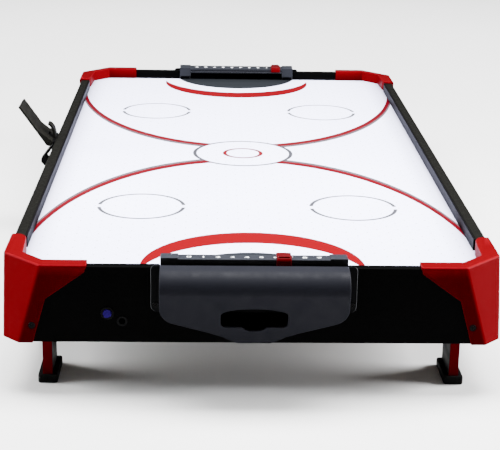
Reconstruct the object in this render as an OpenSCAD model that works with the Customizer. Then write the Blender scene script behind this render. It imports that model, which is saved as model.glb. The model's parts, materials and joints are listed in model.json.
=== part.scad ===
// Table-top air hockey table.
// Origin: centre of the floor plane under the four feet. +X right, +Y away from the front player, +Z up.
// The front goal is at -Y, with the power button and the DC inlet beside it.

/* [Frame] */
// Width over the side panels
table_w = 508; // [480:1:540]
// Length over the end panels
table_l = 1016; // [960:1:1080]
// Thickness of the MDF side and end panels
panel_t = 12; // [11:0.5:13]
// Height of the panels
panel_h = 81.5; // [80:0.5:90]
// Clear height from the floor to the underside of the panels
under_h = 54.5; // [45:0.5:70]
// Depth of the playing surface below the top of the rails
recess = 13; // [12:0.5:15]
// Thickness of the playing surface
playfield_t = 4; // [3:0.5:5]
// Thickness of the bottom panel
bottom_t = 4; // [3:0.5:5]

/* [Corner caps] */
// Wall thickness of the moulded corner caps
cap_t = 3; // [2.5:0.5:4]
// Length of a cap's arm along the end rail
cap_end_arm = 88; // [75:1:100]
// Length of a cap's arm along the side rail
cap_side_arm = 101; // [85:1:120]
// Thickness of the cap's lip down the inner face of the end rail
cap_lip = 2; // [1.5:0.5:3]
// Width of the corner bevel at the top of the cap
bevel_top = 42; // [36:1:46]
// Width of the corner bevel at the bottom of the cap
bevel_bottom = 18; // [12:1:24]

/* [Goals] */
// Half width of the goal shell and of the scorer
goal_half = 95; // [90:1:100]
// Half width of the goal mouth between the scorer's end blocks
mouth_half = 77; // [70:1:80]
// Half width of the flange that carries the goal shell
flange_half = 104.5; // [102:0.5:110]
// How far the goal shell stands out from the end panel
shell_out = 35; // [30:1:40]
// Wall thickness of the goal shell
shell_t = 2.5; // [2:0.5:3]
// Rest position of the front scorer slider along X
front_score = 30; // [-60:1:60]
// Rest position of the back scorer slider along X
back_score = 66; // [-68:1:68]

/* [Legs] */
// Distance from the table's centre line to the middle of a leg
leg_x = 213; // [205:1:216]
// Distance from the table's centre to a leg's front face
leg_y = 484; // [478:1:484]
// Depth of a leg along Y
leg_d = 46; // [40:1:50]
// Height of a foot pad
foot_h = 9; // [8:0.5:12]

/* [Blower] */
// Side of the square fan frame
fan_side = 92; // [88:1:96]
// Depth of the fan frame
fan_depth = 25; // [24:1:28]
// Number of blades
blades = 7; // [5:1:9]

/* [Side holder] */
// Lean of the flap away from upright
flap_lean = 35; // [30:1:40]
// Length of the flap from its hinge axis to its tip
flap_len = 62; // [50:1:70]
// Width of the flap along Y
flap_w = 50; // [44:1:56]

/* [Hidden] */
$fn = 48;
half_w = table_w / 2;
half_l = table_l / 2;
in_w = half_w - panel_t;
in_l = half_l - panel_t;
rail_z = under_h + panel_h;
field_z = rail_z - recess;
field_under = field_z - playfield_t;
floor_z = under_h + bottom_t;
cap_top = rail_z + cap_t;
// Outer faces of the caps
cap_x = half_w + cap_t;
cap_y = half_l + cap_t;
// Scorer bar: its section runs along X between the two end blocks
bar_in = half_l - 22;
bar_out = half_l - 2;
bar_low = rail_z - 0.9;
bar_top_in = rail_z + 6.6;
bar_top_out = rail_z + 8.1;
groove_low = rail_z + 1.6;
groove_high = rail_z + 3.6;
groove_d = 1.4;
slider_w = 15;
slider_gap = 0.35;
// Goal shell
shell_top = rail_z + 3.4;
shell_low = under_h + 6;
shell_round = rail_z - 17;
flange_t = 3;
flange_low = rail_z - 47;
boss_x = flange_half - 4.7;
// Electrical fittings on the front panel
button_x = -148.5;
button_z = under_h + 32;
button_r = 4.4;
button_travel = 2.5;
jack_x = -133.5;
jack_z = under_h + 23.5;
jack_bore = 3.2;
// Fan
fan_z = floor_z;
fan_bore = 43.5;
fan_hole = 41.25;
hub_r = 18;
shaft_r = 1.5;
bearing_r = 1.55;
rotor_low = fan_z + 5.5;
rotor_high = fan_z + 23.5;
guard_t = 2.5;
// Corner blocks
block_side = 46;
// Side holder, on the outside of the left panel
hinge_x = -(half_w + 8);
hinge_z = rail_z - 1;
barrel_r = 5;
pin_r = 1.5;
holder_y0 = 0;

// ---------- placement helpers ----------

// Moves a back right part to the corner given by the signs of X and Y.
module at_corner(sx, sy) {
    mirror([sx < 0 ? 1 : 0, 0, 0]) mirror([0, sy < 0 ? 1 : 0, 0]) children();
}

// Puts a back goal part at the front, turned to face the other way.
module at_front() {
    rotate([0, 0, 180]) children();
}

// Extrudes an (X, Z) outline along Y from y0 to y1.
module along_y(y0, y1) {
    translate([0, y1, 0]) rotate([90, 0, 0]) linear_extrude(y1 - y0) children();
}

// Extrudes a (Y, Z) outline along X from x0 to x1.
module along_x(x0, x1) {
    translate([x0, 0, 0]) rotate([90, 0, 90]) linear_extrude(x1 - x0) children();
}

module box(x, y, z) {
    translate([x[0], y[0], z[0]]) cube([x[1] - x[0], y[1] - y[0], z[1] - z[0]]);
}

// Points of an arc, from angle a0 to a1 in n steps.
function arc(cx, cy, rx, ry, a0, a1, n) =
    [for (i = [0 : n]) let (a = a0 + (a1 - a0) * i / n) [cx + rx * cos(a), cy + ry * sin(a)]];

function mirrored(pts) = [for (i = [len(pts) - 1 : -1 : 0]) [-pts[i][0], pts[i][1]]];

// Everything outside the sloping corner bevel, moved inwards by inset.
// The bevel faces the back right corner and is wide at the top.
module beyond_bevel(inset) {
    u_top = (cap_x + cap_y - bevel_top) / sqrt(2) - inset;
    u_bottom = (cap_x + cap_y - bevel_bottom) / sqrt(2) - inset;
    slope = (u_bottom - u_top) / (cap_top - under_h);
    rotate([0, 0, 45]) translate([0, 300, 0]) rotate([90, 0, 0]) linear_extrude(600)
        polygon([[u_bottom + 20 * slope, under_h - 20], [u_top - 20 * slope, cap_top + 20],
            [u_bottom + 90, cap_top + 20], [u_bottom + 90, under_h - 20]]);
}

// Cuts all four corners of a part back behind the caps.
module behind_caps(inset) {
    difference() {
        children();
        for (sx = [-1, 1], sy = [-1, 1]) at_corner(sx, sy) beyond_bevel(inset);
    }
}

// ---------- frame ----------

module side_panel(side) {
    color([0.10, 0.10, 0.09]) behind_caps(cap_t + 0.2) difference() {
        box(side > 0 ? [in_w, half_w] : [-half_w, -in_w], [-in_l, in_l], [under_h, rail_z]);
        for (sx = [-1, 1], sy = [-1, 1]) at_corner(sx, sy)
            translate([in_w - 1, in_l - 14, under_h + 19]) rotate([0, 90, 0]) cylinder(h = panel_t + 2, r = 1.6);
        if (side < 0) for (y = [8, 42]) translate([-half_w - 1, holder_y0 + y, rail_z - 24])
            rotate([0, 90, 0]) cylinder(h = panel_t + 2, r = 1.6);
    }
}

module end_panel() {
    behind_caps(cap_t + 0.2) difference() {
        box([-half_w, half_w], [in_l, half_l], [under_h, rail_z]);
        box([-goal_half - 0.5, goal_half + 0.5], [in_l - 1, half_l + 1], [field_under, rail_z + 1]);
        for (x = [-boss_x, boss_x]) translate([x, half_l + 1, rail_z - 39]) rotate([90, 0, 0])
            cylinder(h = panel_t + 2, r = 1.4);
        for (sx = [-1, 1]) translate([sx * 225, half_l + 1, under_h + 19]) rotate([90, 0, 0])
            cylinder(h = panel_t + 2, r = 1.6);
    }
}

module end_panel_front() {
    color([0.05, 0.05, 0.05]) difference() {
        at_front() end_panel();
        translate([button_x, -half_l - 1, button_z]) rotate([-90, 0, 0]) cylinder(h = panel_t + 2, r = 5.6);
        translate([jack_x, -half_l - 1, jack_z]) rotate([-90, 0, 0]) cylinder(h = panel_t + 2, r = 4.6);
    }
}

module end_panel_back() {
    color([0.05, 0.05, 0.05]) end_panel();
}

module rail_liner(side) {
    color([0.12, 0.12, 0.14])
        box(side > 0 ? [in_w - 2, in_w] : [-in_w, -in_w + 2],
            [-(cap_y - cap_side_arm - 1.5), cap_y - cap_side_arm - 1.5], [field_z, rail_z - 0.2]);
}

module playfield() {
    color([0.93, 0.93, 0.96]) behind_caps(cap_t + 0.2)
        box([-in_w, in_w], [-in_l, in_l], [field_under, field_z]);
}

module bottom_panel() {
    color([0.32, 0.26, 0.20]) difference() {
        box([-in_w, in_w], [-in_l, in_l], [under_h, floor_z]);
        translate([0, 0, under_h - 1]) cylinder(h = bottom_t + 2, r = fan_bore);
        for (sx = [-1, 1], sy = [-1, 1]) translate([sx * fan_hole, sy * fan_hole, under_h - 1])
            cylinder(h = bottom_t + 2, r = 2.3);
        for (sx = [-1, 1], sy = [-1, 1], y = [8, 27])
            translate([sx * (leg_x - 11), sy * (leg_y - y), under_h - 1]) cylinder(h = bottom_t + 2, r = 2.2);
    }
}

module ledge(side) {
    color([0.72, 0.62, 0.46])
        box(side > 0 ? [in_w - panel_t, in_w] : [-in_w, -in_w + panel_t],
            [-(in_l - block_side), in_l - block_side], [field_under - 20, field_under]);
}

// A cross batten with two air passages, notched at its ends to clear the ledges.
module cross_rib(y) {
    color([0.72, 0.62, 0.46]) difference() {
        box([-in_w, in_w], [y - 6, y + 6], [floor_z, field_under]);
        for (sx = [-1, 1]) box([sx * 120 - 40, sx * 120 + 40], [y - 7, y + 7], [floor_z + 16, field_under - 14]);
        for (sx = [-1, 1]) at_corner(sx, 1)
            box([in_w - panel_t, in_w + 1], [y - 7, y + 7], [field_under - 20, field_under + 1]);
        // Passage for the wiring beside the left ledge
        box([-190, -178], [y - 7, y + 7], [floor_z - 1, floor_z + 8]);
    }
}

module corner_block(sx, sy) {
    color([0.72, 0.62, 0.46]) difference() {
        at_corner(sx, sy) difference() {
            box([in_w - block_side, in_w], [in_l - block_side, in_l], [floor_z, field_under]);
            beyond_bevel(cap_t + 0.2);
            for (y = [8, 27]) translate([leg_x - 11, leg_y - y, floor_z - 1]) cylinder(h = 16, r = 1.7);
            translate([225, in_l + 1, under_h + 19]) rotate([90, 0, 0]) cylinder(h = 12, r = 1.6);
            translate([in_w + 1, in_l - 14, under_h + 19]) rotate([0, -90, 0]) cylinder(h = 12, r = 1.6);
        }
    }
}

// ---------- corner caps ----------

// Outline of a cap's flange: a coordinate along the panel, measured from the cap's outer corner, and Z.
function flange_outline(arm) = [
    [0, under_h], [32.5, under_h], [46, rail_z - 34], [arm - 2, rail_z - 5], [arm, cap_top], [0, cap_top]
];

// Plan of the cap's top, for the back right corner: two arms joined across the inner corner.
function cap_plan() = concat(
    [[cap_x, cap_y], [cap_x - cap_end_arm, cap_y], [cap_x - cap_end_arm, in_l - cap_lip],
     [in_w - 30 + cap_lip, in_l - cap_lip], [in_w - 5, in_l - 25.5]],
    arc(in_w + 7.5, cap_y - cap_side_arm + 18, 10.5, 18, 180, 260, 6),
    arc(cap_x - 6, cap_y - cap_side_arm + 6, 6, 6, 280, 360, 4)
);

module corner_cap(sx, sy) {
    color([0.82, 0.05, 0.05]) at_corner(sx, sy) difference() {
        union() {
            translate([0, 0, rail_z]) linear_extrude(cap_t) polygon(cap_plan());
            // Skirt down to the playing surface inside the rails
            intersection() {
                translate([0, 0, field_z + 0.3]) linear_extrude(recess) polygon(cap_plan());
                box([0, in_w], [0, in_l], [field_z, cap_top]);
            }
            // Flange on the end panel
            along_y(half_l, cap_y) translate([cap_x, 0]) mirror([1, 0]) polygon(flange_outline(cap_end_arm));
            // Flange on the side panel
            along_x(half_w, cap_x) translate([cap_y, 0]) mirror([1, 0])
                polygon(flange_outline(cap_side_arm));
            // Bevelled corner wall
            intersection() {
                box([cap_x - bevel_top - 6, cap_x], [cap_y - bevel_top - 6, cap_y], [under_h, cap_top]);
                beyond_bevel(cap_t);
            }
        }
        beyond_bevel(0);
        translate([225, cap_y - 1.6, under_h + 19]) rotate([-90, 0, 0]) cylinder(h = 4, r = 4);
        translate([225, half_l - 1, under_h + 19]) rotate([-90, 0, 0]) cylinder(h = 6, r = 1.9);
        translate([cap_x - 1.6, in_l - 14, under_h + 19]) rotate([0, 90, 0]) cylinder(h = 4, r = 4);
        translate([half_w - 1, in_l - 14, under_h + 19]) rotate([0, 90, 0]) cylinder(h = 6, r = 1.9);
    }
}

// A pan head screw along -Z, its head's underside at the origin.
module screw(length, r, head_r, head_h) {
    translate([0, 0, -length]) cylinder(h = length + 0.5, r = r);
    difference() {
        cylinder(h = head_h, r = head_r);
        for (a = [0, 90]) rotate([0, 0, a]) translate([-head_r * 0.6, -0.45, head_h - 0.9])
            cube([head_r * 1.2, 0.9, 2]);
    }
}

module corner_cap_screws() {
    color([0.08, 0.08, 0.08]) for (sx = [-1, 1], sy = [-1, 1]) at_corner(sx, sy) {
        translate([225, cap_y - 1.6, under_h + 19]) rotate([-90, 0, 0]) screw(20, 1.5, 3.4, 1.4);
        translate([cap_x - 1.6, in_l - 14, under_h + 19]) rotate([0, 90, 0]) screw(20, 1.5, 3.4, 1.4);
    }
}

// ---------- legs ----------

module leg(sx, sy) {
    color([0.24, 0.25, 0.25]) at_corner(sx, sy) {
        box([leg_x - 4.8, leg_x + 4], [leg_y - leg_d + 1.2, leg_y - 1.2], [foot_h - 5, under_h]);
        difference() {
            box([leg_x - 18, leg_x - 4.8], [leg_y - leg_d + 1.2, leg_y - 1.2], [under_h - 5, under_h]);
            for (y = [8, 27]) translate([leg_x - 11, leg_y - y, under_h - 6]) cylinder(h = 8, r = 2.2);
        }
    }
}

// Red channel over the front, outer and back edges of a leg.
module leg_trim(sx, sy) {
    color([0.72, 0.05, 0.06]) at_corner(sx, sy) difference() {
        box([leg_x - 4.8, leg_x + 5.2], [leg_y - leg_d, leg_y], [foot_h - 5, under_h]);
        box([leg_x - 5, leg_x + 4], [leg_y - leg_d + 1.2, leg_y - 1.2], [0, under_h + 1]);
    }
}

module foot(sx, sy) {
    r = 3;
    low = leg_y - leg_d - 4 + r;
    high = leg_y + 4 - r;
    color([0.04, 0.04, 0.04]) at_corner(sx, sy) difference() {
        union() {
            box([leg_x - 10.2, leg_x + 10.2], [low, high], [0, foot_h]);
            box([leg_x - 10.2 + r, leg_x + 10.2 - r], [low - r, high + r], [0, foot_h]);
            for (x = [leg_x - 10.2 + r, leg_x + 10.2 - r], y = [low, high]) translate([x, y, 0])
                cylinder(h = foot_h, r = r);
        }
        box([leg_x - 4.8, leg_x + 5.2], [leg_y - leg_d, leg_y], [foot_h - 5, foot_h + 1]);
    }
}

module leg_screws() {
    color([0.6, 0.6, 0.6]) for (sx = [-1, 1], sy = [-1, 1], y = [8, 27])
        translate([sx * (leg_x - 11), sy * (leg_y - y), under_h - 5]) rotate([180, 0, 0]) screw(20, 1.6, 3.6, 2);
}

// ---------- goals ----------

// Flange on the end panel, with the sill that the puck crosses and a seat for each scorer block.
module goal_frame() {
    r = 7;
    color([0.13, 0.13, 0.15]) difference() {
        union() {
            along_y(half_l, half_l + flange_t) polygon(concat(
                arc(flange_half - r, flange_low + r, r, r, 270, 360, 6),
                arc(flange_half - 4, rail_z - 1.5, 4, 4, 0, 90, 4),
                arc(-flange_half + 4, rail_z - 1.5, 4, 4, 90, 180, 4),
                arc(-flange_half + r, flange_low + r, r, r, 180, 270, 6)));
            box([-goal_half, goal_half], [in_l, half_l + 1], [field_under, field_z - 0.4]);
            for (sx = [-1, 1]) at_corner(sx, 1)
                box([mouth_half + 1, goal_half], [in_l, half_l + 1], [field_z - 1, rail_z - 8.5]);
        }
        box([-goal_half + 6, goal_half - 6], [half_l, half_l + 5], [flange_low + 8, field_under]);
        box([-mouth_half - 1, mouth_half + 1], [half_l - 1, half_l + 5], [field_under - 1, rail_z + 5]);
        for (x = [-boss_x, boss_x]) translate([x, half_l + 5, rail_z - 39]) rotate([90, 0, 0])
            cylinder(h = 8, r = 1.9);
    }
}

// Side profile of the shell: distance out from the end panel and Z. d moves it inwards.
function shell_profile(d) = concat(
    [[-1, shell_low + d], [9, shell_low + d]],
    arc(13, shell_low + 9, 9 - d, 9 - d, 290, 345, 5),
    arc(shell_out - 19 - d * 0.4, shell_round, 19 - d * 0.6, 20.4 - d, -4, 90, 12),
    [[-1, shell_top - d]]
);

// Front outline of the shell: half of it, from the middle of the bottom to the top. d moves it inwards.
function shell_outline(d) = concat(
    [[0, shell_low + d], [15 - d * 0.4, shell_low + d], [18.5 - d * 0.5, shell_low + 1.6 + d],
     [23 - d * 0.5, shell_low + 4.6 + d], [32 - d * 0.6, shell_low + 9.3 + d], [46 - d * 0.6, shell_low + 14.2 + d],
     [78 - d, shell_low + 23.5 + d]],
    arc(goal_half - 18, shell_low + 42, 18 - d, 18 - d, 292, 358, 6),
    [[goal_half - d, shell_top + 5]]
);

module shell_solid(d) {
    outline = shell_outline(d);
    intersection() {
        along_x(-goal_half, goal_half) translate([half_l, 0]) polygon(shell_profile(d));
        along_y(half_l - 1, half_l + shell_out + 5) polygon(concat(outline, mirrored(outline)));
    }
}

// Finger opening: wide, with a low arched top and a shallow round notch in the middle of its lower edge.
module finger_opening() {
    low = shell_low + 21.3;
    along_y(half_l + 4, half_l + shell_out + 5) union() {
        polygon(concat(
            arc(28.5, low + 5, 5, 5, 270, 360, 5),
            arc(0, low + 14.2, 33.5, 7.2, 0, 180, 24),
            arc(-28.5, low + 5, 5, 5, 180, 270, 5)));
        polygon(arc(0, low + 1.5, 12.4, 6.2, 0, 350, 35));
    }
}

module goal_shell() {
    color([0.27, 0.29, 0.33]) difference() {
        shell_solid(0);
        shell_solid(shell_t);
        finger_opening();
        box([-goal_half - 1, goal_half + 1], [half_l - 5, half_l], [0, cap_top + 10]);
        box([-goal_half - 1, goal_half + 1], [half_l - 5, half_l + flange_t], [flange_low, cap_top + 10]);
    }
}

function bar_section() = [
    [bar_in, bar_low], [bar_out, bar_low], [bar_out, groove_low], [bar_out - groove_d, groove_low],
    [bar_out - groove_d, groove_high], [bar_out, groove_high], [bar_out, bar_top_out],
    [bar_in, bar_top_in], [bar_in, groove_high], [bar_in + groove_d, groove_high],
    [bar_in + groove_d, groove_low], [bar_in, groove_low]
];

// Scorer: a grooved bar over the goal mouth between two end blocks.
module scorer_bar() {
    color([0.30, 0.31, 0.34]) {
        along_x(-mouth_half - 1, mouth_half + 1) polygon(bar_section());
        for (sx = [-1, 1]) at_corner(sx, 1) along_x(mouth_half, goal_half) polygon([
            [in_l + 0.2, rail_z - 8.5], [bar_out, rail_z - 8.5], [bar_out, bar_top_out + 1.2],
            [bar_in, bar_top_in + 1.2], [bar_in, rail_z - 6.5]
        ]);
    }
}

// Slider: a saddle over the bar, with a hook in each groove.
module scorer_slider(x) {
    g = slider_gap;
    hook_low = groove_low + g;
    hook_high = groove_high - g;
    hook_d = groove_d - 0.4;
    top = bar_top_out + 2.4;
    color([0.85, 0.08, 0.07]) along_x(x - slider_w / 2, x + slider_w / 2) polygon(concat(
        [[bar_in + hook_d, hook_low], [bar_in + hook_d, hook_high], [bar_in - g, hook_high],
         [bar_in - g, bar_top_in + g], [bar_out + g, bar_top_out + g], [bar_out + g, hook_high],
         [bar_out - hook_d, hook_high], [bar_out - hook_d, hook_low], [bar_out + g + 1.4, hook_low]],
        arc(bar_out + g - 2.6, top - 4, 4, 4, 0, 90, 5),
        arc(bar_in - g + 2.6, top - 4.8, 4, 4, 90, 180, 5),
        [[bar_in - g - 1.4, hook_low]]
    ));
}

module goal_screw_pair() {
    for (x = [-boss_x, boss_x]) translate([x, half_l + flange_t, rail_z - 39]) rotate([-90, 0, 0])
        screw(13, 1.3, 2.8, 1.6);
}

module goal_screws() {
    color([0.35, 0.35, 0.37]) {
        goal_screw_pair();
        at_front() goal_screw_pair();
    }
}

// ---------- electrics ----------

// Push button; its cap stands out of the bezel and travels inwards.
module power_button() {
    color([0.05, 0.05, 0.75]) translate([button_x, -half_l - 3.2, button_z]) rotate([-90, 0, 0]) {
        cylinder(h = 11, r = button_r);
        translate([0, 0, 10.5]) cylinder(h = 2, r = 2.2);
    }
}

module switch_body() {
    color([0.07, 0.07, 0.08]) difference() {
        union() {
            translate([button_x, -half_l - 1.4, button_z]) rotate([-90, 0, 0]) cylinder(h = 1.4, r = 6.8);
            translate([button_x, -half_l, button_z]) rotate([-90, 0, 0]) cylinder(h = panel_t, r = 5.5);
            box([button_x - 7, button_x + 7], [-in_l, -in_l + 12], [button_z - 7, button_z + 7]);
        }
        translate([button_x, -half_l - 3, button_z]) rotate([-90, 0, 0]) cylinder(h = 16.5, r = button_r + 0.3);
    }
}

module dc_jack() {
    color([0.06, 0.06, 0.06]) difference() {
        union() {
            translate([jack_x, -half_l - 1, jack_z]) rotate([-90, 0, 0]) cylinder(h = 1, r = 5.6);
            translate([jack_x, -half_l, jack_z]) rotate([-90, 0, 0]) cylinder(h = panel_t + 9, r = 4.5);
        }
        translate([jack_x, -half_l - 2, jack_z]) rotate([-90, 0, 0]) cylinder(h = 13, r = jack_bore);
    }
}

module jack_nut() {
    color([0.75, 0.75, 0.72]) difference() {
        translate([jack_x, -in_l, jack_z]) rotate([-90, 30, 0]) cylinder(h = 2.5, r = 7, $fn = 6);
        translate([jack_x, -in_l - 1, jack_z]) rotate([-90, 0, 0]) cylinder(h = 5, r = 4.5);
    }
}

// Straight run of the twin lead between two points that differ in one direction.
module lead(p, q) {
    r = 2;
    lo = [min(p[0], q[0]) - r, min(p[1], q[1]) - r, min(p[2], q[2]) - r];
    hi = [max(p[0], q[0]) + r, max(p[1], q[1]) + r, max(p[2], q[2]) + r];
    translate(lo) cube(hi - lo);
}

// Lead from the inlet to the switch, and from the switch along the floor to the fan.
module wire_harness() {
    z = floor_z + 2;
    y_jack = -half_l + panel_t + 11;
    y_switch = -in_l + 14;
    color([0.15, 0.03, 0.03]) {
        lead([jack_x, y_jack, jack_z], [jack_x, y_jack, z]);
        lead([jack_x, y_jack, z], [button_x, y_jack, z]);
        lead([button_x, y_jack, z], [button_x, y_switch, z]);
        lead([button_x, y_switch, z], [button_x, y_switch, button_z]);
        lead([button_x, y_jack, z], [-184, y_jack, z]);
        lead([-184, y_jack, z], [-184, 0, z]);
        lead([-184, 0, z], [-fan_side / 2 - 2, 0, z]);
    }
}

// ---------- blower ----------

module fan_frame() {
    r = 5;
    a = fan_side / 2 - r;
    color([0.08, 0.08, 0.08]) {
        difference() {
            translate([0, 0, fan_z]) linear_extrude(fan_depth) union() {
                square([fan_side, 2 * a], center = true);
                square([2 * a, fan_side], center = true);
                for (sx = [-1, 1], sy = [-1, 1]) translate([sx * a, sy * a]) circle(r = r);
            }
            translate([0, 0, fan_z - 1]) cylinder(h = fan_depth + 2, r = fan_bore);
            for (sx = [-1, 1], sy = [-1, 1]) translate([sx * fan_hole, sy * fan_hole, fan_z - 1])
                cylinder(h = fan_depth + 2, r = 2.15);
        }
        difference() {
            union() {
                translate([0, 0, fan_z]) cylinder(h = 3, r = 17);
                for (a = [0 : 90 : 270]) rotate([0, 0, a + 20]) translate([10, -2.5, fan_z])
                    cube([fan_bore - 9, 5, 3]);
                translate([0, 0, fan_z + 2]) cylinder(h = 13, r = 4);
            }
            translate([0, 0, fan_z + 1]) cylinder(h = 20, r = bearing_r);
        }
    }
}

module fan_rotor() {
    hub_h = rotor_high - rotor_low;
    color([0.12, 0.12, 0.13]) {
        difference() {
            translate([0, 0, rotor_low]) cylinder(h = hub_h, r = hub_r);
            translate([0, 0, rotor_low - 1]) cylinder(h = hub_h - 1.5, r = hub_r - 2);
            translate([0, 0, rotor_low]) cylinder(h = hub_h + 2, r = shaft_r);
        }
        for (i = [0 : blades - 1]) rotate([0, 0, i * 360 / blades]) intersection() {
            translate([hub_r - 1.2, 0, (rotor_low + rotor_high) / 2]) rotate([38, 0, 0])
                translate([0, -0.9, -12]) cube([fan_bore - hub_r, 1.8, 24]);
            translate([0, 0, rotor_low + 0.5]) cylinder(h = hub_h - 1, r = fan_bore - 2);
        }
    }
}

module fan_shaft() {
    color([0.8, 0.8, 0.82]) translate([0, 0, fan_z + 1.4]) cylinder(h = rotor_high - fan_z - 1.4, r = shaft_r);
}

module fan_stator() {
    color([0.62, 0.36, 0.16]) difference() {
        union() {
            translate([0, 0, fan_z + 3]) cylinder(h = 2, r = 12);
            translate([0, 0, fan_z + 5]) cylinder(h = 8, r = 7);
            for (a = [0 : 90 : 270]) rotate([0, 0, a]) translate([0, -3, fan_z + 6]) cube([13, 6, 6]);
        }
        translate([0, 0, fan_z + 2]) cylinder(h = 20, r = 4);
    }
}

module fan_guard() {
    side = fan_side - 4;
    color([0.06, 0.06, 0.06]) translate([0, 0, under_h - guard_t]) difference() {
        linear_extrude(guard_t) difference() {
            square([side, side], center = true);
            for (sx = [-1, 1], sy = [-1, 1]) translate([sx * fan_hole, sy * fan_hole]) circle(r = 2.3);
            difference() {
                circle(r = 41);
                for (r = [11 : 8 : 35]) difference() {
                    circle(r = r + 1.1);
                    circle(r = r - 1.1);
                }
                circle(r = 6);
                for (a = [0, 45, 90, 135]) rotate(a) square([90, 2.4], center = true);
            }
        }
    }
}

module fan_screws() {
    color([0.6, 0.6, 0.6]) for (sx = [-1, 1], sy = [-1, 1])
        translate([sx * fan_hole, sy * fan_hole, under_h - guard_t]) rotate([180, 0, 0])
            screw(guard_t + bottom_t + fan_depth - 2, 1.9, 3.5, 2);
}

// ---------- side holder ----------

// Bracket on the outside of the left panel: back plate, hinge barrel at its back end and a lower loop.
module holder_bracket() {
    plate_x = -half_w;
    color([0.05, 0.05, 0.05]) difference() {
        union() {
            box([plate_x - 2.5, plate_x], [holder_y0, holder_y0 + flap_w], [rail_z - 46, hinge_z + 2]);
            box([hinge_x, plate_x - 2], [holder_y0 + 16.3, holder_y0 + 33.7], [hinge_z - barrel_r, hinge_z]);
            translate([hinge_x, holder_y0 + 33.7, hinge_z]) rotate([90, 0, 0]) cylinder(h = 17.4, r = barrel_r);
            // Lower loop, open in the middle
            along_y(holder_y0 + 16.3, holder_y0 + 33.7) polygon([
                [plate_x - 1, rail_z - 8], [plate_x - 6, rail_z - 9], [plate_x - 10, rail_z - 13],
                [plate_x - 21, rail_z - 28], [plate_x - 21, rail_z - 33], [plate_x - 15, rail_z - 39],
                [plate_x - 1, rail_z - 44], [plate_x - 1, rail_z - 31], [plate_x - 9, rail_z - 30],
                [plate_x - 13.5, rail_z - 26.5], [plate_x - 13, rail_z - 23], [plate_x - 6.5, rail_z - 14.5],
                [plate_x - 1, rail_z - 12]]);
        }
        translate([hinge_x, holder_y0 + 60, hinge_z]) rotate([90, 0, 0]) cylinder(h = 70, r = pin_r);
        for (y = [8, 42]) translate([plate_x - 5, holder_y0 + y, rail_z - 24]) rotate([0, 90, 0])
            cylinder(h = 10, r = 2);
    }
}

// Flap: a flat blade on two barrels that sit either side of the bracket's barrel.
module holder_flap() {
    clearance = 0.05;
    color([0.10, 0.10, 0.09]) difference() {
        translate([hinge_x, 0, hinge_z]) rotate([0, -flap_lean, 0]) translate([-hinge_x, 0, -hinge_z]) union() {
            for (y = [holder_y0, holder_y0 + 34]) translate([hinge_x, y + 16, hinge_z]) rotate([90, 0, 0])
                cylinder(h = 16, r = barrel_r);
            for (y = [holder_y0, holder_y0 + 34])
                box([hinge_x - barrel_r, hinge_x + 3], [y, y + 16], [hinge_z, hinge_z + 8]);
            // Blade, thickened towards the hinge on its inner side
            along_y(holder_y0, holder_y0 + flap_w) translate([hinge_x, hinge_z]) polygon([
                [-barrel_r, 7], [2.5, 7], [1.2, 11], [-0.6, 17], [-2, 22], [-2, flap_len], [-barrel_r, flap_len]]);
        }
        translate([hinge_x, holder_y0 + 60, hinge_z]) rotate([90, 0, 0]) cylinder(h = 70, r = pin_r + clearance);
    }
}

module holder_pin() {
    color([0.7, 0.7, 0.72]) translate([hinge_x, holder_y0 + flap_w, hinge_z]) rotate([90, 0, 0])
        cylinder(h = flap_w, r = pin_r);
}

// Curved lip that rises past the rail and curls outwards over the flap's foot, thinner towards its tip.
module holder_lip() {
    x0 = -half_w - 2.5;
    outer = arc(x0 - 8, rail_z + 3, 10.3, 18.5, 0, 90, 9);
    inner = arc(x0 - 9.5, rail_z + 2, 8.6, 17.4, 80, 0, 8);
    color([0.12, 0.12, 0.11]) along_y(holder_y0 + 17, holder_y0 + 33)
        polygon(concat([[x0 + 2, rail_z + 1]], outer, inner, [[x0, rail_z + 1]]));
}

module holder_screws() {
    color([0.6, 0.6, 0.6]) for (y = [8, 42]) translate([-half_w - 2.5, holder_y0 + y, rail_z - 24])
        rotate([0, -90, 0]) screw(13, 1.5, 3.2, 1.8);
}

// ---------- parts ----------

side_panel(-1);  // side_panel_left
side_panel(1);  // side_panel_right
end_panel_front();
end_panel_back();
rail_liner(-1);  // rail_liner_left
rail_liner(1);  // rail_liner_right
playfield();
bottom_panel();
ledge(-1);  // ledge_left
ledge(1);  // ledge_right
cross_rib(-170);  // cross_rib_front
cross_rib(170);  // cross_rib_back
corner_block(-1, -1);  // corner_block_fl
corner_block(1, -1);  // corner_block_fr
corner_block(-1, 1);  // corner_block_bl
corner_block(1, 1);  // corner_block_br
corner_cap(-1, -1);  // corner_cap_fl
corner_cap(1, -1);  // corner_cap_fr
corner_cap(-1, 1);  // corner_cap_bl
corner_cap(1, 1);  // corner_cap_br
corner_cap_screws();
leg(-1, -1);  // leg_fl
leg(1, -1);  // leg_fr
leg(-1, 1);  // leg_bl
leg(1, 1);  // leg_br
leg_trim(-1, -1);  // leg_trim_fl
leg_trim(1, -1);  // leg_trim_fr
leg_trim(-1, 1);  // leg_trim_bl
leg_trim(1, 1);  // leg_trim_br
foot(-1, -1);  // foot_fl
foot(1, -1);  // foot_fr
foot(-1, 1);  // foot_bl
foot(1, 1);  // foot_br
leg_screws();
at_front() goal_frame();  // goal_frame_front
goal_frame();  // goal_frame_back
at_front() goal_shell();  // goal_shell_front
goal_shell();  // goal_shell_back
at_front() scorer_bar();  // scorer_bar_front
scorer_bar();  // scorer_bar_back
at_front() scorer_slider(-front_score);  // scorer_slider_front
scorer_slider(back_score);  // scorer_slider_back
goal_screws();
power_button();
switch_body();
dc_jack();
jack_nut();
wire_harness();
fan_frame();
fan_rotor();
fan_shaft();
fan_stator();
fan_guard();
fan_screws();
holder_bracket();
holder_flap();
holder_pin();
holder_lip();
holder_screws();
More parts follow.
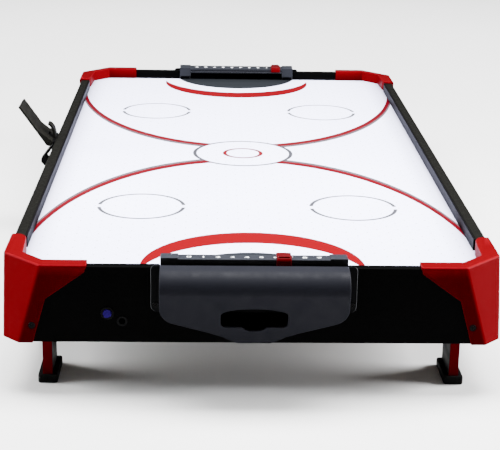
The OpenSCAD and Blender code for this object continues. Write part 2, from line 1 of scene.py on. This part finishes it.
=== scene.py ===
"""Visual model of the table-top air hockey table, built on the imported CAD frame. Lengths are in metres."""

import json
import math

import bmesh
import bpy
from mathutils import Matrix, Vector


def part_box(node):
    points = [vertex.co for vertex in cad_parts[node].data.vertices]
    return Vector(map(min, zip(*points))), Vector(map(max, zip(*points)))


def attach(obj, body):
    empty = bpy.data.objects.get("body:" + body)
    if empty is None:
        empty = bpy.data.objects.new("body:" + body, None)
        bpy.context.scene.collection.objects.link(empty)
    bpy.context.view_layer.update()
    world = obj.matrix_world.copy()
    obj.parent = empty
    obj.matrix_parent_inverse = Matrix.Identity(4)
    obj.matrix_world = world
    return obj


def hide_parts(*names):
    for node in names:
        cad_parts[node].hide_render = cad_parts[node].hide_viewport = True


MM = 0.001

# Name endings of the pieces that the table has one of at each end, side or corner
ENDS = ("front", "back")
SIDES = ("left", "right")
CORNERS = ("fl", "fr", "bl", "br")

# Tint of the highlights on red plastic
RED_GLOSS = (1.0, 0.05, 0.08)

# CAD points closer than this are one point, and faces that meet at less than this angle are one face
SAME_POINT = 0.004 * MM
SAME_PLANE = math.radians(0.6)

# Rounding of the corner caps: the width on their outer edges, and the share of it on the others.
# Edges shorter than the facet's length belong to the screw holes and stay sharp.
CAP_ROUNDING = 2.8 * MM
CAP_INNER_SHARE = 0.32
HOLE_FACET = 1.2 * MM

# Printed rink: radii, half widths of lines and distances from the middle of the table, in millimetres
PRINT_EDGE = 0.35
CREASE_Y, CREASE_R = 519.0, 98.0
CRESCENT_Y, CRESCENT_R = 469.0, 118.0
CRESCENT_CUT_Y, CRESCENT_CUT_R = 511.0, 122.0
ARC_Y, ARC_HALF_X, ARC_HALF_Y = 443.5, 248.0, 405.0
ARC_RED_MIN, ARC_RED_SWELL = 2.6, 4.4
ARC_GREY_MIN, ARC_GREY_SWELL = 0.8, 3.2
CENTRE_R, CENTRE_LINE = 65.0, 2.5
RING_R, RING_LINE = 24.5, 2.7
FACE_X, FACE_Y, FACE_R, FACE_LINE, FACE_GAP = 125.5, 252.0, 50.0, 2.2, 5.0
HOLE_PITCH, HOLE_IN, HOLE_OUT = 24.0, 0.5, 1.0

# Numerals on the scorer bars
DIGIT_SIZE = 7.5 * MM
DIGIT_WIDEN = 1.45
DIGIT_RAISE = 0.12 * MM
DIGIT_PITCH = 14.7 * MM
DIGIT_Y = -496.5 * MM
DIGIT_Z = 143.45 * MM
BAR_SLOPE = math.atan(1.5 / 20)

# Camera: its place, and its turns about Z, X and Y from a level view along +Y
CAMERA_PLACE = (-0.04925, -1.83248, 0.6002)
CAMERA_TURNS = (-0.0332, -0.3061, -0.01817)

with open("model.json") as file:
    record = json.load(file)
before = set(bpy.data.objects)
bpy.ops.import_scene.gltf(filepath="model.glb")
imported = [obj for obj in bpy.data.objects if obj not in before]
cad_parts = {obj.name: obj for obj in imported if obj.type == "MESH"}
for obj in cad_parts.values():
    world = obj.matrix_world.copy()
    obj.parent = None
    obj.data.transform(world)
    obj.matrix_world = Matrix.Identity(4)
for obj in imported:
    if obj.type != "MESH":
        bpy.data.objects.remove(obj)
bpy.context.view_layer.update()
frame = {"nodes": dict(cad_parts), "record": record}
BODY_OF = {n: b for b, nodes in frame["record"]["behaviour"]["bodies"].items() for n in nodes}


# ---------------------------------------------------------------- node helpers


class Graph:
    """Short calls for building a material's node tree."""

    def __init__(self, name):
        self.mat = bpy.data.materials.new(name)
        self.mat.use_nodes = True
        self.tree = self.mat.node_tree
        self.bsdf = self.tree.nodes["Principled BSDF"]
        self.coord = self.tree.nodes.new("ShaderNodeTexCoord").outputs["Object"]

    def node(self, kind, **props):
        """A new node with the given properties."""
        n = self.tree.nodes.new(kind)
        for key, value in props.items():
            setattr(n, key, value)
        return n

    def put(self, socket, value):
        """Links a socket into another one, or sets a plain value."""
        if isinstance(value, bpy.types.NodeSocket):
            self.tree.links.new(value, socket)
        else:
            socket.default_value = value

    def math(self, op, a, b=0.0, c=0.0, clamp=False):
        """One step of arithmetic on sockets or numbers."""
        n = self.node("ShaderNodeMath", operation=op, use_clamp=clamp)
        for socket, value in zip(n.inputs, (a, b, c)):
            self.put(socket, value)
        return n.outputs[0]

    def noise(self, scale, detail=2.0, rough=0.5, stretch=None):
        """Noise in the piece's own space, drawn out along the axes where stretch is small."""
        n = self.node("ShaderNodeTexNoise")
        n.inputs["Scale"].default_value = scale
        n.inputs["Detail"].default_value = detail
        n.inputs["Roughness"].default_value = rough
        source = self.coord
        if stretch:
            m = self.node("ShaderNodeMapping")
            m.inputs["Scale"].default_value = stretch
            self.put(m.inputs["Vector"], source)
            source = m.outputs[0]
        self.put(n.inputs["Vector"], source)
        return n.outputs["Fac"]

    def remap(self, value, lo, hi, to_lo, to_hi):
        """Carries the range lo to hi over to another range and clamps what lies outside."""
        n = self.node("ShaderNodeMapRange")
        self.put(n.inputs["Value"], value)
        for name, v in (("From Min", lo), ("From Max", hi), ("To Min", to_lo), ("To Max", to_hi)):
            n.inputs[name].default_value = v
        return n.outputs[0]

    def mix(self, fac, a, b):
        """Colour a where the factor is 0 and colour b where it is 1."""
        n = self.node("ShaderNodeMix", data_type="RGBA")
        self.put(n.inputs["Factor"], fac)
        for socket, value in ((n.inputs[6], a), (n.inputs[7], b)):
            self.put(socket, value if isinstance(value, bpy.types.NodeSocket) else (*value[:3], 1.0))
        return n.outputs[2]

    def bump(self, height, strength, distance=0.4 * MM, under=None):
        """A normal roughened by a height, on top of another bump if one is given."""
        n = self.node("ShaderNodeBump")
        n.inputs["Strength"].default_value = strength
        n.inputs["Distance"].default_value = distance
        self.put(n.inputs["Height"], height)
        if under:
            self.put(n.inputs["Normal"], under)
        return n.outputs[0]

    def split(self, vector=None):
        """The X, Y and Z of a vector, or of the place on the piece."""
        n = self.node("ShaderNodeSeparateXYZ")
        self.put(n.inputs[0], vector or self.coord)
        return n.outputs

    def edge_wear(self):
        """Near 0 on flat areas and towards 1 along convex edges."""
        n = self.node("ShaderNodeNewGeometry")
        return self.remap(n.outputs["Pointiness"], 0.52, 0.62, 0.0, 1.0)

    def finish(self, colour, rough, normal=None, metallic=0.0, specular=0.5, tint=None):
        """Connects the shader and gives the material."""
        self.put(self.bsdf.inputs["Base Color"], colour)
        self.put(self.bsdf.inputs["Roughness"], rough)
        self.bsdf.inputs["Metallic"].default_value = metallic
        self.bsdf.inputs["Specular IOR Level"].default_value = specular
        if tint:
            self.bsdf.inputs["Specular Tint"].default_value = (*tint, 1.0)
        if normal:
            self.put(self.bsdf.inputs["Normal"], normal)
        return self.mat


def shade(colour, k):
    """The colour, k times as bright."""
    return tuple(min(1.0, c * k) for c in colour)


def moulded(name, colour, rough, grain, depth, vary=0.1, wear=0.25, specular=0.5, tint=None):
    """Injection-moulded plastic: fine grain, slow colour drift, paler worn edges."""
    worn = shade(colour, 3.0)
    g = Graph(name)
    drift = g.noise(9.0, 3.0)
    base = g.mix(g.remap(drift, 0.3, 0.7, 0.0, 1.0), shade(colour, 1 - vary), shade(colour, 1 + vary))
    edge = g.math("MULTIPLY", g.edge_wear(), wear)
    base = g.mix(edge, base, worn)
    scuff = g.noise(60.0, 4.0, 0.65, stretch=(1.0, 0.25, 1.0))
    r = g.remap(scuff, 0.35, 0.7, rough * 0.85, rough * 1.2)
    fine = g.bump(g.noise(grain, 2.0), depth)
    wavy = g.bump(g.noise(14.0, 1.0), 0.05, 2.0 * MM, under=fine)
    return g.finish(base, r, wavy, specular=specular, tint=tint)


def wood(name, colour, dark, along="Y", scale=60.0):
    """Sawn softwood or fibreboard with a grain along one axis."""
    g = Graph(name)
    stretch = {"X": (0.06, 1, 1), "Y": (1, 0.06, 1), "Z": (1, 1, 0.06)}[along]
    grain = g.noise(scale, 5.0, 0.6, stretch=stretch)
    fibre = g.noise(scale * 9, 3.0, 0.6, stretch=stretch)
    tone = g.mix(g.remap(grain, 0.35, 0.65, 0.0, 1.0), dark, colour)
    tone = g.mix(g.math("MULTIPLY", g.remap(fibre, 0.45, 0.7, 0.0, 1.0), 0.3), tone, shade(dark, 0.7))
    return g.finish(tone, g.remap(fibre, 0.3, 0.7, 0.55, 0.8), g.bump(fibre, 0.25))


def metal(name, colour, rough=0.32):
    """Drawn metal with fine lines across Z."""
    g = Graph(name)
    lines = g.noise(500.0, 3.0, stretch=(1.0, 1.0, 0.1))
    tone = g.mix(g.noise(40.0, 3.0), shade(colour, 0.8), shade(colour, 1.1))
    polish = g.remap(lines, 0.3, 0.7, rough * 0.7, rough * 1.4)
    return g.finish(tone, polish, g.bump(lines, 0.1), metallic=1.0)


# ---------------------------------------------------------------- printed playing surface


def playing_surface():
    """White laminate with the rink print and the grid of air holes."""
    g = Graph("playing_surface")
    raw = g.split()
    x = g.math("MULTIPLY", raw[0], 1000.0)
    y = g.math("MULTIPLY", raw[1], 1000.0)
    ax = g.math("ABSOLUTE", x)
    ay = g.math("ABSOLUTE", y)

    def within(distance, half):
        """1 where the distance's size is under half, with a soft edge."""
        gap = g.math("SUBTRACT", half, g.math("ABSOLUTE", distance))
        return g.math("ADD", g.math("DIVIDE", gap, PRINT_EDGE), 0.5, clamp=True)

    def inside(distance):
        """1 where the distance is negative, with a soft edge."""
        return g.math("SUBTRACT", 0.5, g.math("DIVIDE", distance, PRINT_EDGE), clamp=True)

    def both(a, b):
        return g.math("MULTIPLY", a, b)

    def invert(a):
        return g.math("SUBTRACT", 1.0, a)

    def length(a, b):
        return g.math("SQRT", g.math("ADD", g.math("MULTIPLY", a, a), g.math("MULTIPLY", b, b)))

    def from_circle(cx, cy, r):
        return g.math("SUBTRACT", length(g.math("SUBTRACT", ax, cx), g.math("SUBTRACT", ay, cy)), r)

    # Laminate with a faint cloud and fine scratches
    cloud = g.remap(g.noise(5.0, 3.0), 0.3, 0.7, 0.0, 1.0)
    colour = g.mix(cloud, (0.66, 0.68, 0.92), (0.71, 0.73, 0.96))
    scratch = g.noise(220.0, 3.0, 0.7, stretch=(1.0, 0.12, 1.0))
    colour = g.mix(g.remap(scratch, 0.60, 0.80, 0.0, 0.10), colour, (0.40, 0.41, 0.52))

    # Soft shade along the long rails
    shaded = g.math("POWER", g.remap(ax, 212.0, 243.0, 0.0, 1.0), 1.6)
    colour = g.mix(shaded, colour, (0.30, 0.29, 0.40))

    # Air holes on a grid, every second row shifted by half a pitch, drawn as dots of painted shade rather
    # than cut
    row = g.math("DIVIDE", y, HOLE_PITCH / 2)
    odd = g.math("MODULO", g.math("ABSOLUTE", g.math("ROUND", row)), 2.0)
    column = g.math("ADD", g.math("DIVIDE", x, HOLE_PITCH), g.math("MULTIPLY", odd, 0.5))
    dx = g.math("MULTIPLY", g.math("SUBTRACT", column, g.math("ROUND", column)), HOLE_PITCH)
    dy = g.math("MULTIPLY", g.math("SUBTRACT", row, g.math("ROUND", row)), HOLE_PITCH / 2)
    hole_shade = g.remap(length(dx, dy), HOLE_IN, HOLE_OUT, 1.0, 0.0)
    colour = g.mix(both(hole_shade, 0.8), colour, (0.003, 0.003, 0.003))

    # Goal creases
    colour = g.mix(inside(from_circle(0, CREASE_Y, CREASE_R)), colour, (0.0085, 0.0097, 0.0115))

    # Large arcs: halves of ellipses that meet the long rails, each with a grey line beside it.
    # Both lines are broadest at the middle of the table and stop at the centre circle.
    px = g.math("DIVIDE", ax, ARC_HALF_X)
    py = g.math("DIVIDE", g.math("SUBTRACT", ay, ARC_Y), ARC_HALF_Y)
    reach = length(px, py)
    slope = length(g.math("DIVIDE", px, ARC_HALF_X), g.math("DIVIDE", py, ARC_HALF_Y))
    arc = g.math("DIVIDE", g.math("MULTIPLY", g.math("SUBTRACT", reach, 1.0), reach), slope)
    centre = from_circle(0, 0, CENTRE_R)
    outside = g.math("GREATER_THAN", centre, 0.0)
    middle = g.math("SUBTRACT", 1.0, g.math("MULTIPLY", px, px), clamp=True)
    half_red = g.math("MULTIPLY_ADD", middle, ARC_RED_SWELL, ARC_RED_MIN)
    half_grey = g.math("MULTIPLY_ADD", middle, ARC_GREY_SWELL, ARC_GREY_MIN)
    beside = g.math("SUBTRACT", arc, g.math("ADD", half_red, half_grey))
    colour = g.mix(both(within(beside, half_grey), outside), colour, (0.044, 0.042, 0.047))
    colour = g.mix(within(centre, CENTRE_LINE), colour, (0.030, 0.030, 0.036))
    colour = g.mix(both(within(arc, half_red), outside), colour, (0.062, 0.0005, 0.0030))
    colour = g.mix(within(from_circle(0, 0, RING_R), RING_LINE), colour, (0.080, 0.001, 0.0045))

    # Face-off circles, open at their left and right ends
    face = within(from_circle(FACE_X, FACE_Y, FACE_R), FACE_LINE)
    gap = g.math("GREATER_THAN", g.math("ABSOLUTE", g.math("SUBTRACT", ay, FACE_Y)), FACE_GAP)
    colour = g.mix(both(face, gap), colour, (0.034, 0.034, 0.041))

    # Crescents in front of the goals
    disc = inside(from_circle(0, CRESCENT_Y, CRESCENT_R))
    cut = inside(from_circle(0, CRESCENT_CUT_Y, CRESCENT_CUT_R))
    colour = g.mix(both(disc, invert(cut)), colour, (0.082, 0.0001, 0.0022))

    rough = g.remap(cloud, 0.0, 1.0, 0.34, 0.38)
    peel = g.bump(g.noise(120.0, 1.0), 0.012, 0.001)
    return g.finish(colour, rough, peel, specular=0.008)


def rail_laminate():
    """Dark brownish-grey speckled foil; the rails' tops are painted paler as lit, and their sides near black
    as painted shade.
    """
    g = Graph("rail_laminate")
    geo = g.node("ShaderNodeNewGeometry")
    # Painted light: upward faces get the lit speckled tone, and the sides a painted-shade near black.
    up = g.remap(g.split(geo.outputs["Normal"])[2], 0.5, 0.9, 0.0, 1.0)
    speck = g.noise(900.0, 2.0, 0.7)
    pores = g.noise(260.0, 4.0, 0.7, stretch=(1.0, 0.5, 1.0))
    top = g.mix(g.remap(speck, 0.35, 0.68, 0.0, 1.0), (0.0009, 0.0009, 0.0007), (0.0032, 0.0031, 0.0025))
    top = g.mix(g.math("MULTIPLY", g.remap(pores, 0.55, 0.75, 0.0, 1.0), 0.5), top, (0.0075, 0.0073, 0.0060))
    side = g.mix(g.remap(speck, 0.4, 0.7, 0.0, 1.0), (0.0008, 0.0008, 0.0008), (0.0022, 0.0022, 0.0022))
    colour = g.mix(up, side, top)
    rough = g.remap(pores, 0.3, 0.7, 0.42, 0.62)
    return g.finish(colour, rough, g.bump(speck, 0.25), specular=0.02)


def end_laminate():
    """Near-black foil of the end panels."""
    g = Graph("end_laminate")
    speck = g.noise(800.0, 2.0, 0.7)
    cloud = g.noise(18.0, 3.0)
    colour = g.mix(g.remap(speck, 0.35, 0.7, 0.0, 1.0), (0.0003, 0.0003, 0.0003), (0.0007, 0.0007, 0.0007))
    return g.finish(colour, g.remap(cloud, 0.3, 0.7, 0.38, 0.55), g.bump(speck, 0.15), specular=0.005)


def scorer_plastic():
    """One grey plastic with painted light: grey on the faces that look up or inwards, and painted shade
    makes the outer and lower faces near black.
    """
    g = Graph("scorer")
    geo = g.node("ShaderNodeNewGeometry")
    normal = g.split(geo.outputs["Normal"])
    outward = g.math("MULTIPLY", normal[1], g.math("SIGN", g.split()[1]))
    lit = g.math("SUBTRACT", normal[2], g.math("MULTIPLY", outward, 0.9))
    cloud = g.remap(g.noise(25.0, 3.0), 0.3, 0.7, 0.0, 1.0)
    grey = g.mix(cloud, (0.0098, 0.0106, 0.0135), (0.0122, 0.0130, 0.0165))
    half_shade = (0.0080, 0.0086, 0.0108)
    dark = g.mix(cloud, (0.0075, 0.0075, 0.0086), (0.0100, 0.0100, 0.0115))
    grain = g.noise(1300.0, 2.0)
    # Painted shade darkens the faces turned outwards or down; the upward faces keep the lit grey.
    colour = g.mix(g.remap(lit, 0.05, 0.45, 0.0, 1.0), dark, half_shade)
    colour = g.mix(g.remap(normal[2], 0.3, 0.8, 0.0, 1.0), colour, grey)
    return g.finish(colour, g.remap(cloud, 0.0, 1.0, 0.36, 0.48), g.bump(grain, 0.12), specular=0.02)


def cap_plastic():
    """Red moulding with painted light: painted shade makes the end faces of the flanges deeper red below the
    top edge, and a painted highlight brightens the band under its top edges.
    """
    g = Graph("red")
    normal = g.split(g.node("ShaderNodeNewGeometry").outputs["Normal"])
    up = normal[2]
    drift = g.remap(g.noise(9.0, 3.0), 0.3, 0.7, 0.0, 1.0)
    base = g.mix(drift, (0.049, 0.00004, 0.0010), (0.056, 0.00006, 0.0012))
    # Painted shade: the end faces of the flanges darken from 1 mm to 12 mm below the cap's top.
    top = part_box("corner_cap_fl")[1][2]
    below = g.math("SUBTRACT", top, g.split()[2])
    shade_below_top = g.remap(below, 1.0 * MM, 12.0 * MM, 0.0, 1.0)
    shaded_end_face = g.remap(g.math("ABSOLUTE", normal[1]), 0.86, 0.97, 0.0, 1.0)
    base = g.mix(g.math("MULTIPLY", shade_below_top, shaded_end_face), base, (0.024, 0.00002, 0.0006))
    # Painted highlight: faces sloping from the top edges, neither level nor upright, are painted brighter
    # red.
    rising = g.remap(up, 0.32, 0.60, 0.0, 1.0)
    falling = g.remap(up, 0.80, 0.96, 1.0, 0.0)
    painted_highlight = g.math("MULTIPLY", g.math("MULTIPLY", rising, falling), 0.8)
    colour = g.mix(painted_highlight, base, (0.105, 0.0012, 0.0045))
    scuff = g.noise(60.0, 4.0, 0.65, stretch=(1.0, 0.25, 1.0))
    grain = g.bump(g.noise(900.0), 0.10)
    return g.finish(colour, g.remap(scuff, 0.35, 0.7, 0.31, 0.43), grain, specular=0.004, tint=RED_GLOSS)


def goal_frame_plastic():
    """Near-black plastic with a painted highlight along its rounded side edges."""
    g = Graph("goal_frame")
    normal = g.split(g.node("ShaderNodeNewGeometry").outputs["Normal"])
    corner = g.math("MULTIPLY", g.math("ABSOLUTE", normal[0]), g.math("ABSOLUTE", normal[1]))
    drift = g.remap(g.noise(12.0, 3.0), 0.3, 0.7, 0.0, 1.0)
    base = g.mix(drift, (0.0006, 0.0006, 0.0008), (0.0010, 0.0010, 0.0013))
    # Painted highlight: the rounded edges between side and end faces are painted pale grey.
    colour = g.mix(g.remap(corner, 0.15, 0.40, 0.0, 0.8), base, (0.060, 0.061, 0.066))
    rough = g.remap(drift, 0.0, 1.0, 0.32, 0.44)
    return g.finish(colour, rough, g.bump(g.noise(1300.0), 0.1), specular=0.012)


def liner_strip():
    """Dark glossy strip: a painted lilac-grey reflection on its upper part, black where it meets the playing
    surface.
    """
    g = Graph("liner")
    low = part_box("rail_liner_left")[0][2]
    z = g.math("SUBTRACT", g.split()[2], low)
    streak = g.noise(30.0, 3.0, stretch=(1.0, 0.05, 1.0))
    # Painted reflection: the lilac-grey streaks on the upper part stand for the playing surface mirrored in
    # the wall.
    grey = g.mix(g.remap(streak, 0.3, 0.7, 0.0, 1.0), (0.0014, 0.0013, 0.0016), (0.0034, 0.0032, 0.0038))
    colour = g.mix(g.remap(z, 4.0 * MM, 6.0 * MM, 0.0, 1.0), (0.0006, 0.0006, 0.0009), grey)
    rough = g.remap(streak, 0.3, 0.7, 0.35, 0.5)
    return g.finish(colour, rough, g.bump(g.noise(700.0), 0.05), specular=0.006)


MATERIALS = {
    "rail": rail_laminate(),
    "black_panel": end_laminate(),
    "liner": liner_strip(),
    "field": playing_surface(),
    "board": wood("hardboard", (0.045, 0.026, 0.012), (0.026, 0.014, 0.007), "X", 140.0),
    "batten": wood("batten", (0.12, 0.085, 0.048), (0.08, 0.052, 0.026)),
    "red": cap_plastic(),
    # Painted shade: the leg trims' red is as dark as the painted shade on the caps' end faces.
    "red_trim": moulded(
        "red_trim", (0.024, 0.00008, 0.0008), rough=0.42, grain=900.0, depth=0.10,
        vary=0.10, wear=0.3, specular=0.008, tint=RED_GLOSS,
    ),
    "leg": moulded(
        "leg", (0.0030, 0.0032, 0.0030), rough=0.5, grain=900.0, depth=0.2,
        vary=0.12, wear=0.5, specular=0.015,
    ),
    "pad": moulded(
        "pad", (0.0012, 0.0012, 0.0012), rough=0.7, grain=500.0, depth=0.4,
        vary=0.3, wear=0.8, specular=0.04,
    ),
    "shell": moulded(
        "shell", (0.0032, 0.0034, 0.0052), rough=0.62, grain=1300.0, depth=0.10,
        vary=0.06, wear=0.5, specular=0.04,
    ),
    "frame": goal_frame_plastic(),
    "bar": scorer_plastic(),
    "screw": moulded(
        "black_screw", (0.0008, 0.0008, 0.0008), rough=0.3, grain=300.0, depth=0.1,
        vary=0.1, wear=0.5, specular=0.02,
    ),
    "steel": metal("steel", (0.30, 0.30, 0.31)),
    "button": moulded(
        "button", (0.008, 0.0020, 0.050), rough=0.25, grain=500.0, depth=0.02,
        vary=0.1, wear=0.3, specular=0.02, tint=(0.3, 0.25, 1.0),
    ),
    "black": moulded(
        "black", (0.0009, 0.0009, 0.0010), rough=0.42, grain=1000.0, depth=0.15,
        vary=0.15, wear=0.3, specular=0.02,
    ),
    "wire": moulded("wire", (0.02, 0.002, 0.002), rough=0.45, grain=500.0, depth=0.1),
    "copper": metal("copper", (0.30, 0.12, 0.05), 0.35),
}
SLOT_OF = {s["node"]: s["material_slot"] for s in frame["record"]["subparts"]}


# ---------------------------------------------------------------- mesh helpers


def new_object(name, mesh, node, slot=None):
    """Puts a mesh into the scene on the body of a CAD node, in that node's slot or another one."""
    ob = bpy.data.objects.new(name, mesh)
    bpy.context.scene.collection.objects.link(ob)
    slot = slot or SLOT_OF[node]
    ob.data.materials.clear()
    ob.data.materials.append(MATERIALS[slot])
    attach(ob, BODY_OF[node])
    return ob


def smooth(ob, width, segments, angle, limit):
    """Rounds every real edge, or only the weighted ones, and shades the rest smooth."""
    ob.data.shade_smooth()
    ob.data.set_sharp_from_angle(angle=math.radians(angle))
    bevel = ob.modifiers.new("bevel", "BEVEL")
    bevel.width = width
    bevel.segments = segments
    bevel.limit_method = limit
    bevel.angle_limit = math.radians(angle)
    bevel.use_clamp_overlap = False
    bevel.miter_outer = "MITER_ARC"
    normals = ob.modifiers.new("normals", "WEIGHTED_NORMAL")
    normals.keep_sharp = False


def rounded(node, width, segments=3, angle=32.0, weigh=None):
    """A copy of a CAD node with rounded edges stands for it.

    weigh(edge) gives an edge's share of the width.
    """
    mesh = frame["nodes"][node].data.copy()
    bm = bmesh.new()
    bm.from_mesh(mesh)
    bmesh.ops.remove_doubles(bm, verts=bm.verts, dist=SAME_POINT)
    bmesh.ops.dissolve_limit(bm, angle_limit=SAME_PLANE, verts=bm.verts, edges=bm.edges)
    if weigh:
        layer = bm.edges.layers.float.new("bevel_weight_edge")
        for edge in bm.edges:
            if len(edge.link_faces) == 2 and edge.calc_face_angle() > math.radians(angle):
                edge[layer] = weigh(edge)
    bm.to_mesh(mesh)
    bm.free()
    ob = new_object(node + "_skin", mesh, node)
    smooth(ob, width, segments, angle, "WEIGHT" if weigh else "ANGLE")
    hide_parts(node)


# ---------------------------------------------------------------- pieces

for name, node in frame["nodes"].items():
    node.data.materials.clear()
    node.data.materials.append(MATERIALS[SLOT_OF[name]])

# Width of the rounding on the edges of each piece, in millimetres
for stem, endings, width in (
    ("side_panel", SIDES, 1.2),
    ("end_panel", ENDS, 1.2),
    ("rail_liner", SIDES, 0.4),
    ("leg_trim", CORNERS, 0.5),
    ("leg", CORNERS, 0.6),
    ("foot", CORNERS, 1.2),
    ("goal_frame", ENDS, 0.5),
    ("goal_shell", ENDS, 0.9),
    ("scorer_bar", ENDS, 0.5),
    ("scorer_slider", ENDS, 0.4),
):
    for ending in endings:
        rounded(f"{stem}_{ending}", width * MM)

for name, width in (
    ("power_button", 0.6),
    ("switch_body", 0.4),
    ("dc_jack", 0.4),
    ("holder_bracket", 0.5),
    ("holder_flap", 0.7),
    ("holder_lip", 0.3),
    ("fan_frame", 0.4),
    ("fan_guard", 0.4),
):
    rounded(name, width * MM)


def cap_edge(edge):
    """The cap's outer edges are broad, its flange's edges small, and its screw holes' edges sharp."""
    if edge.calc_length() < HOLE_FACET:
        return 0.0

    def outward(face):
        normal = face.normal
        centre = face.calc_center_median()
        to_side = normal.x * math.copysign(1, centre.x) > 0.5
        to_end = normal.y * math.copysign(1, centre.y) > 0.5
        return normal.z > 0.9 or ((to_side or to_end) and abs(normal.z) < 0.4)

    return 1.0 if all(outward(face) for face in edge.link_faces) else CAP_INNER_SHARE


for corner in CORNERS:
    rounded(f"corner_cap_{corner}", CAP_ROUNDING, 5, 20.0, cap_edge)


def press_grip(mesh):
    """Sinks a finger grip into the top face of a slider."""
    rim = 2.6 * MM
    wall = 0.5 * MM
    sunk = 1.1 * MM
    bm = bmesh.new()
    bm.from_mesh(mesh)
    top = max(bm.faces, key=lambda f: f.calc_center_median().z)
    bmesh.ops.inset_region(bm, faces=[top], thickness=rim, depth=0.0)
    bmesh.ops.inset_region(bm, faces=[top], thickness=wall, depth=-sunk)
    bm.to_mesh(mesh)
    bm.free()


# The holder's flap and lip are painted greyer than its bracket, as painted light on their upward faces
flap_lit_grey = moulded(
    "flap_lit_grey", (0.0027, 0.0026, 0.0021), rough=0.55, grain=900.0, depth=0.25,
    vary=0.2, wear=0.3, specular=0.02,
)
for name in ("holder_flap_skin", "holder_lip_skin"):
    bpy.data.objects[name].data.materials[0] = flap_lit_grey

# The sliders are deeper red than the caps
slider_red = moulded(
    "slider_red", (0.036, 0.0004, 0.0012), rough=0.34, grain=900.0, depth=0.08,
    vary=0.06, wear=0.3, specular=0.03, tint=RED_GLOSS,
)
for end in ENDS:
    slider = bpy.data.objects[f"scorer_slider_{end}_skin"].data
    press_grip(slider)
    slider.materials[0] = slider_red


def digit_mesh(figure):
    """A thin raised numeral, centred on the origin and facing up."""
    curve = bpy.data.curves.new(f"digit_{figure}_curve", "FONT")
    curve.body = str(figure)
    curve.size = DIGIT_SIZE
    curve.align_x = "CENTER"
    curve.align_y = "CENTER"
    curve.extrude = DIGIT_RAISE
    curve.resolution_u = 4
    letter = bpy.data.objects.new("digit_temp", curve)
    mesh = bpy.data.meshes.new_from_object(letter)
    bpy.data.objects.remove(letter)
    bpy.data.curves.remove(curve)
    return mesh


def digits(end, turn, white):
    """Numerals 0 to 9 along the top of a scorer bar, read from that end of the table."""
    tilt = Matrix.Rotation(-BAR_SLOPE, 4, "X")
    for i in range(10):
        mesh = digit_mesh(i)
        place = Matrix.Translation(((i - 4.5) * DIGIT_PITCH, DIGIT_Y, DIGIT_Z))
        mesh.transform(turn @ place @ tilt @ Matrix.Diagonal((DIGIT_WIDEN, 1.0, 1.0, 1.0)))
        ob = new_object(f"digit_{end}_{i}", mesh, f"scorer_bar_{end}", slot="field")
        ob.data.materials[0] = white


digit_white = moulded(
    "digit_white", (0.60, 0.62, 0.66), rough=0.4, grain=900.0, depth=0.05,
    vary=0.05, wear=0.1, specular=0.1,
)
digits("front", Matrix.Identity(4), digit_white)
digits("back", Matrix.Rotation(math.pi, 4, "Z"), digit_white)


# ---------------------------------------------------------------- stage, lights and camera


def area_light(name, place, target, size, power):
    """A rectangular light in watts, facing its target."""
    light = bpy.data.lights.new(name, "AREA")
    light.shape = "RECTANGLE"
    light.size, light.size_y = size
    light.energy = power
    ob = bpy.data.objects.new(name, light)
    ob.location = place
    ob.rotation_euler = (Vector(target) - Vector(place)).to_track_quat("-Z", "Y").to_euler()
    bpy.context.scene.collection.objects.link(ob)


def stage():
    """Pale floor under a white world, with a soft light overhead, one at each side and one far behind."""
    mesh = bpy.data.meshes.new("floor")
    reach = 9.0
    corners = [(-reach, -reach, 0), (reach, -reach, 0), (reach, reach, 0), (-reach, reach, 0)]
    mesh.from_pydata(corners, [], [(0, 1, 2, 3)])
    floor = bpy.data.objects.new("floor", mesh)
    bpy.context.scene.collection.objects.link(floor)
    g = Graph("pale_floor")
    tone = g.mix(g.noise(2.0, 2.0), (0.60, 0.60, 0.60), (0.63, 0.63, 0.63))
    mesh.materials.append(g.finish(tone, 0.7, specular=0.1))
    world = bpy.data.worlds.new("studio")
    world.use_nodes = True
    background = world.node_tree.nodes["Background"]
    background.inputs["Color"].default_value = (1.0, 1.0, 1.0, 1.0)
    background.inputs["Strength"].default_value = 0.25
    bpy.context.scene.world = world
    area_light("overhead", (0.0, -0.27, 1.15), (0, -0.27, 0), (1.5, 0.46), 128)
    area_light("right", (2.0, -0.2, 0.75), (0.25, -0.1, 0.1), (1.1, 1.0), 270)
    area_light("left", (-2.0, -0.2, 0.75), (-0.25, -0.1, 0.1), (1.1, 1.0), 150)
    area_light("far_floor", (0.0, 1.5, 1.7), (0, 2.6, 0), (4.0, 0.8), 230)


def camera():
    """A long lens in front of the table, a little above it and left of its middle."""
    data = bpy.data.cameras.new("camera")
    data.sensor_width = 36.0
    data.lens = 100.33
    data.clip_end = 50.0
    ob = bpy.data.objects.new("camera", data)
    about_z, about_x, about_y = CAMERA_TURNS
    turn = (
        Matrix.Rotation(about_z, 4, "Z")
        @ Matrix.Rotation(about_x, 4, "X")
        @ Matrix.Rotation(about_y, 4, "Y")
        @ Matrix.Rotation(math.pi / 2, 4, "X")
    )
    ob.matrix_world = Matrix.Translation(CAMERA_PLACE) @ turn
    bpy.context.scene.collection.objects.link(ob)
    bpy.context.scene.camera = ob


stage()
camera()
